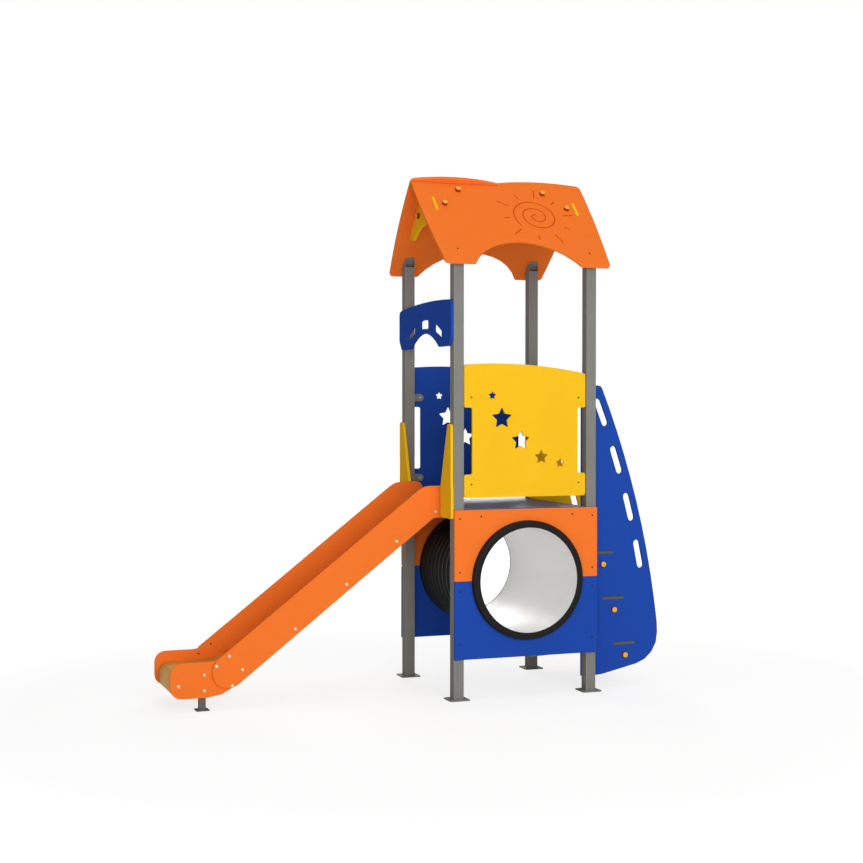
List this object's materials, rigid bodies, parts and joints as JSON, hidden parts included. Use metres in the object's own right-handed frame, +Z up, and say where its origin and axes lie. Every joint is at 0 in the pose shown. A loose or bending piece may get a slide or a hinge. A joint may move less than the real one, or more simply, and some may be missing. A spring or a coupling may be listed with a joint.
{
  "type": "multi-play structure",
  "caption": "Play tower on steel posts with a pitched roof, a crawl tunnel under the deck, a straight slide and a step climber.",
  "frame": {"origin": "underside of the front left post's foot plate, at its centre, on the ground", "axes": "+X along the tunnel's front towards the climber, the slide leaves towards -X; +Y from the front to the back; +Z up"},
  "size_m": [3.2054, 1.1022, 3.3386],
  "materials": {
    "post_grey_steel": "satin galvanised grey",
    "board_yellow": "satin sheet plastic",
    "board_orange": "satin sheet plastic",
    "board_blue": "satin sheet plastic",
    "ribbed_black": "satin",
    "lining_white": "satin",
    "ring_black": "satin",
    "deck_grey": "anti-slip texture",
    "frame_zinc": "galvanised",
    "chute_stainless": "polished stainless sheet",
    "tread_dark": "ribbed anti-slip",
    "cap_red": "glossy moulded"
  },
  "bodies": {
    "root": {"post_front_left": "post_grey_steel", "post_front_right": "post_grey_steel", "post_back_left": "post_grey_steel", "post_back_right": "post_grey_steel", "platform_deck": "deck_grey", "deck_frame": "frame_zinc", "front_panel_upper": "board_orange", "front_panel_lower": "board_blue", "back_panel_upper": "board_orange", "back_panel_lower": "board_blue", "tunnel_pipe": "ribbed_black", "tunnel_lining": "lining_white", "tunnel_ring_front": "ring_black", "tunnel_ring_back": "ring_black", "barrier_front": "board_yellow", "barrier_back": "board_blue", "entry_arch": "board_blue", "slide_guard_near": "board_yellow", "slide_guard_far": "board_yellow", "slide_side_near": "board_orange", "slide_side_far": "board_orange", "slide_end_near": "board_orange", "slide_end_far": "board_orange", "slide_chute": "chute_stainless", "slide_foot_near": "frame_zinc", "slide_foot_far": "frame_zinc", "slide_hanger_near": "frame_zinc", "slide_hanger_far": "frame_zinc", "climber_side_near": "board_blue", "climber_side_far": "board_yellow", "roof_board_front": "board_orange", "roof_board_back": "board_orange", "gable_brace_left": "board_yellow", "gable_brace_right": "board_yellow", "ridge_plate_left": "frame_zinc", "ridge_plate_right": "frame_zinc", "tread_1": "tread_dark", "tread_rod_1": "frame_zinc", "tread_cap_near_1": "cap_red", "tread_cap_far_1": "cap_red", "tread_2": "tread_dark", "tread_rod_2": "frame_zinc", "tread_cap_near_2": "cap_red", "tread_cap_far_2": "cap_red", "tread_3": "tread_dark", "tread_rod_3": "frame_zinc", "tread_cap_near_3": "cap_red", "tread_cap_far_3": "cap_red", "roof_cap_front_left_1": "cap_red", "roof_cap_front_left_2": "cap_red", "roof_cap_front_right_1": "cap_red", "roof_cap_front_right_2": "cap_red", "roof_cap_back_left_1": "cap_red", "roof_cap_back_left_2": "cap_red", "roof_cap_back_right_1": "cap_red", "roof_cap_back_right_2": "cap_red", "brace_cap_left": "cap_red", "brace_cap_right": "cap_red", "brace_cap_left_front": "cap_red", "brace_cap_right_front": "cap_red"}
  },
  "joints": []
}
